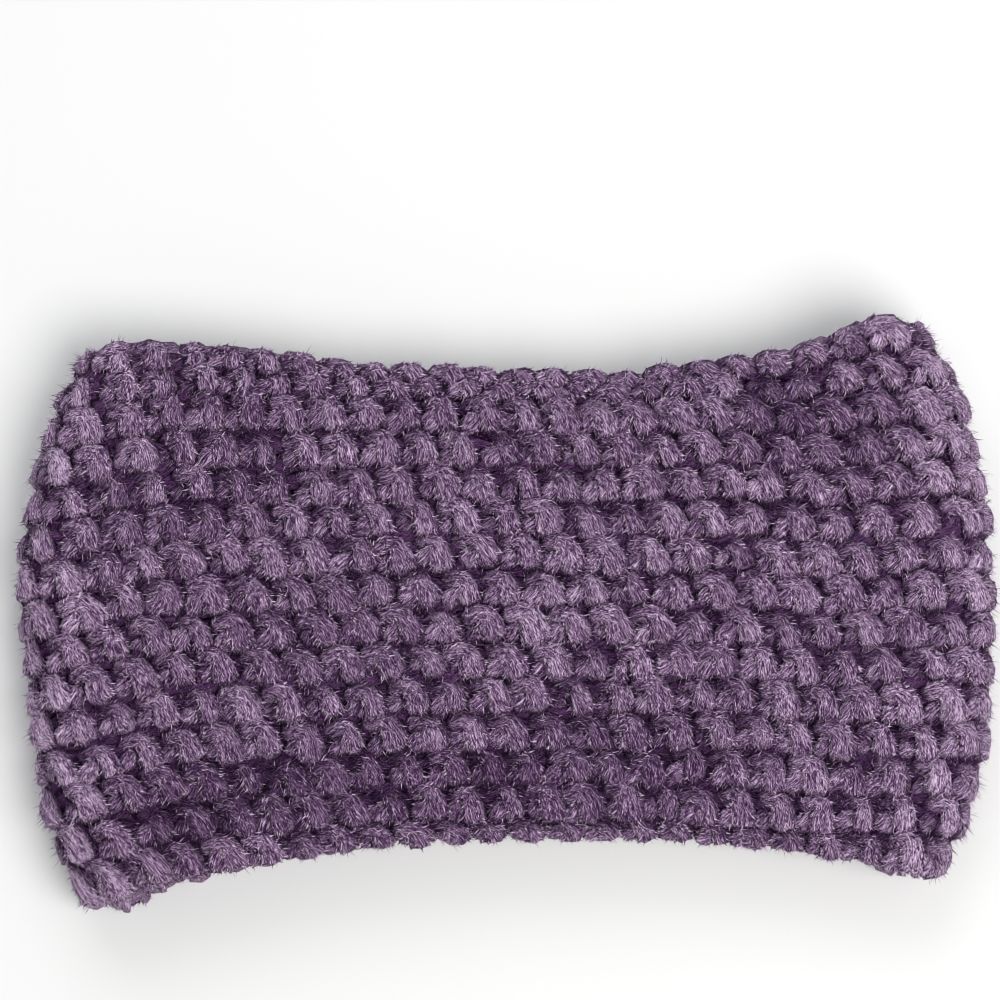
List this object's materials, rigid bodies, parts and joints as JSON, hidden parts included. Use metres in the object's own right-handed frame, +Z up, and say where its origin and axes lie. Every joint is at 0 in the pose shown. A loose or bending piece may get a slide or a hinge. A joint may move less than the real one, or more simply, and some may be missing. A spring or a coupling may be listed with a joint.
{
  "type": "ear warmer headband",
  "caption": "Thick crocheted ear warmer headband lying flat, a ribbed tube of yarn pressed to two layers with the hollow for the head between them.",
  "frame": {"origin": "middle of the bounding box on the surface that the headband lies on", "axes": "+X along the flattened width from fold to fold, +Y across the band from the front rim to the back rim, +Z up"},
  "size_m": [0.2444, 0.1484, 0.027],
  "materials": {
    "yarn": "matt dusty purple yarn, thick and slightly fuzzy"
  },
  "bodies": {
    "root": {"band": "yarn"}
  },
  "joints": []
}
